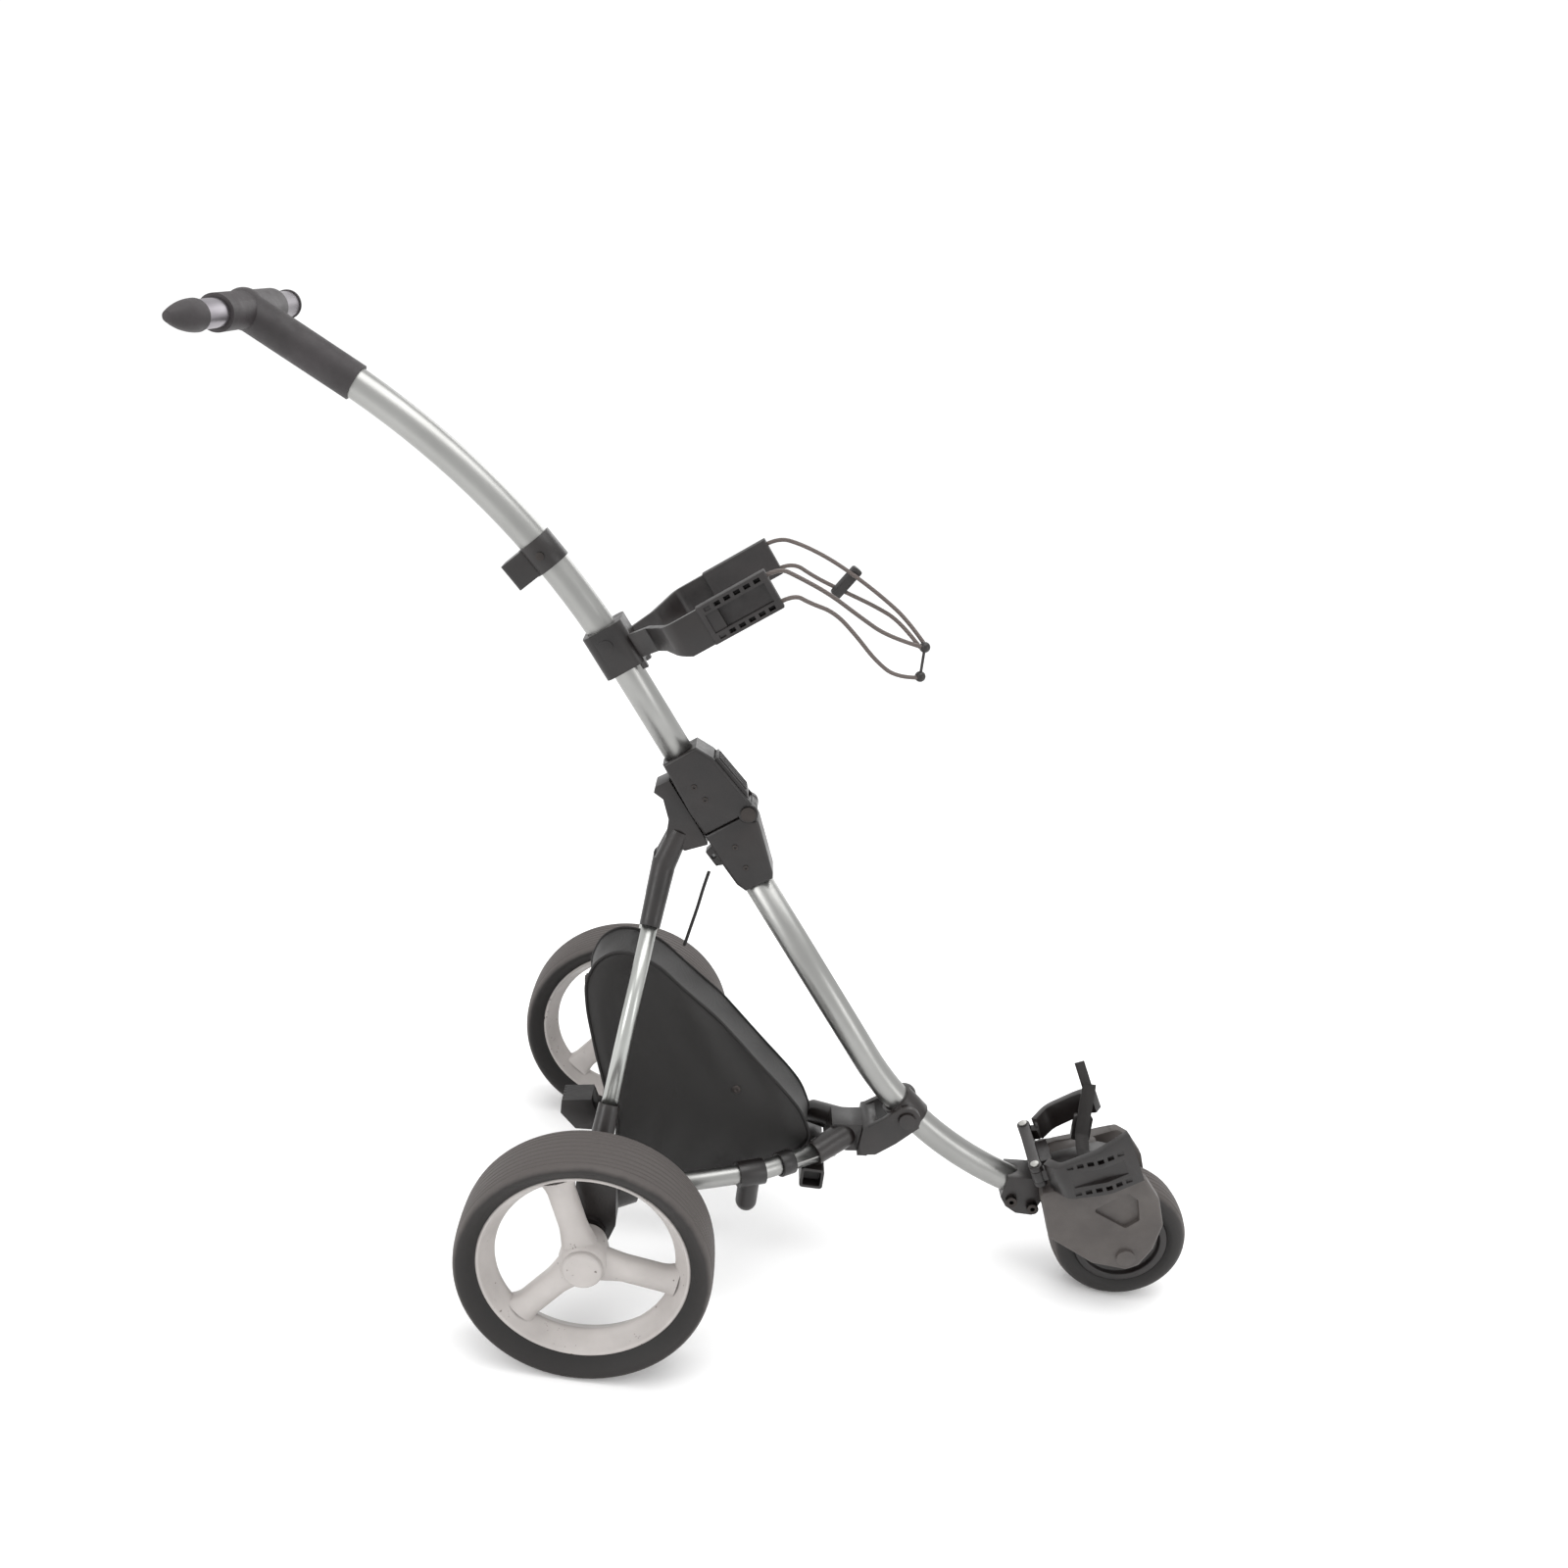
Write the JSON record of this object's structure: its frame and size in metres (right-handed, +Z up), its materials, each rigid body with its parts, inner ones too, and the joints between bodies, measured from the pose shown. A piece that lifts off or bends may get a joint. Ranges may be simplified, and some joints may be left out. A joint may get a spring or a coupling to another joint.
{
  "type": "golf trolley",
  "caption": "Three-wheeled folding golf push trolley with a curved main tube, T handle, bag cradles with elastic cords, broad-spoked wheels and a soft accessory pouch.",
  "frame": {"origin": "on the ground, under the middle of the overall box", "axes": "+X from the handle towards the front wheel, +Y to the left of the person pushing, +Z up"},
  "size_m": [1.1995, 0.566, 1.0775],
  "materials": {
    "silver": "satin",
    "strut_silver": "satin",
    "black": "textured",
    "grey_cover": "textured",
    "rim_grey": "moulded",
    "tyre": "foam rubber",
    "steel": "zinc plated",
    "black_screw": "blackened",
    "grip": "soft touch",
    "grip_grey": "metallic",
    "pad": "soft touch",
    "pouch": "nylon",
    "cord": "woven elastic",
    "web": "webbing"
  },
  "bodies": {
    "frame": {"lower_tube": "silver", "hinge_lower": "black", "hinge_pin": "steel", "hinge_screws_lower": "black_screw", "strap_hook": "black", "pivot_collar": "black", "pivot_pins": "black", "fork_core": "black", "fork_cover_left": "grey_cover", "fork_cover_right": "grey_cover", "front_axle": "steel", "fork_bolts": "black_screw", "lower_cradle": "black", "cradle_pins": "steel", "lower_strap": "web", "lower_buckle": "black"},
    "handle_section": {"upper_tube": "silver", "hinge_upper": "black", "hinge_screws_upper": "black_screw", "handle_sleeve": "grip", "handle_bar": "grip_grey", "grip_cap_left": "grip", "grip_cap_right": "grip", "accessory_clamp": "black", "clamp_screws": "black_screw", "upper_cradle": "black", "upper_pad_left": "pad", "upper_pad_right": "pad", "bungee_left_top": "cord", "bungee_left_low": "cord", "bungee_right_top": "cord", "bungee_right_low": "cord", "bungee_fittings": "black"},
    "latch_lever": {"latch_lever": "black"},
    "undercarriage": {"wishbone": "black", "side_tube_left": "silver", "side_tube_right": "silver", "tube_collars": "black", "rest_feet": "black", "wheel_carrier_left": "black", "wheel_carrier_right": "black", "axle_beam": "black", "wheel_axles": "steel", "catch_yoke": "black", "strut_left": "strut_silver", "strut_right": "strut_silver", "cross_socket": "black", "pouch": "pouch", "pouch_strap": "web"},
    "rear_wheel_left": {"rear_rim_left": "rim_grey", "rear_tyre_left": "tyre", "hub_cap_left": "rim_grey"},
    "rear_wheel_right": {"rear_rim_right": "rim_grey", "rear_tyre_right": "tyre", "hub_cap_right": "rim_grey"},
    "front_wheel": {"front_rim": "black", "front_tyre": "tyre"},
    "lower_arm_left": {"lower_arm_left": "black"},
    "lower_arm_right": {"lower_arm_right": "black"}
  },
  "joints": [
    {"name": "handle_fold", "type": "hinge", "parent": "frame", "child": "handle_section", "pos_m": [-0.00189, 0, 0.58105], "axis": [0, 1, 0], "range_deg": [0, 120], "deforming": ["bungee_left_top", "bungee_left_low", "bungee_right_top", "bungee_right_low", "bungee_fittings"]},
    {"name": "latch_lift", "type": "hinge", "parent": "handle_section", "child": "latch_lever", "pos_m": [-0.01104, 0, 0.59393], "axis": [0, 1, 0], "range_deg": [0, 35]},
    {"name": "undercarriage_fold", "type": "hinge", "parent": "frame", "child": "undercarriage", "pos_m": [0.235, 0, 0.2163], "axis": [0, 1, 0], "range_deg": [-60, 0], "deforming": ["pouch_strap"]},
    {"name": "rear_spin_left", "type": "hinge", "parent": "undercarriage", "child": "rear_wheel_left", "pos_m": [-0.121, 0.247, 0.14], "axis": [0, 1, 0], "continuous": true},
    {"name": "rear_spin_right", "type": "hinge", "parent": "undercarriage", "child": "rear_wheel_right", "pos_m": [-0.121, -0.247, 0.14], "axis": [0, 1, 0], "continuous": true},
    {"name": "front_spin", "type": "hinge", "parent": "frame", "child": "front_wheel", "pos_m": [0.519, 0, 0.082], "axis": [0, 1, 0], "continuous": true},
    {"name": "lower_arm_swing_left", "type": "hinge", "parent": "frame", "child": "lower_arm_left", "pos_m": [0.398, 0.042, 0.174], "axis": [0.454, 0, -0.891], "range_deg": [-36, 0]},
    {"name": "lower_arm_swing_right", "type": "hinge", "parent": "frame", "child": "lower_arm_right", "pos_m": [0.398, -0.042, 0.174], "axis": [0.454, 0, -0.891], "range_deg": [-6, 12]}
  ]
}
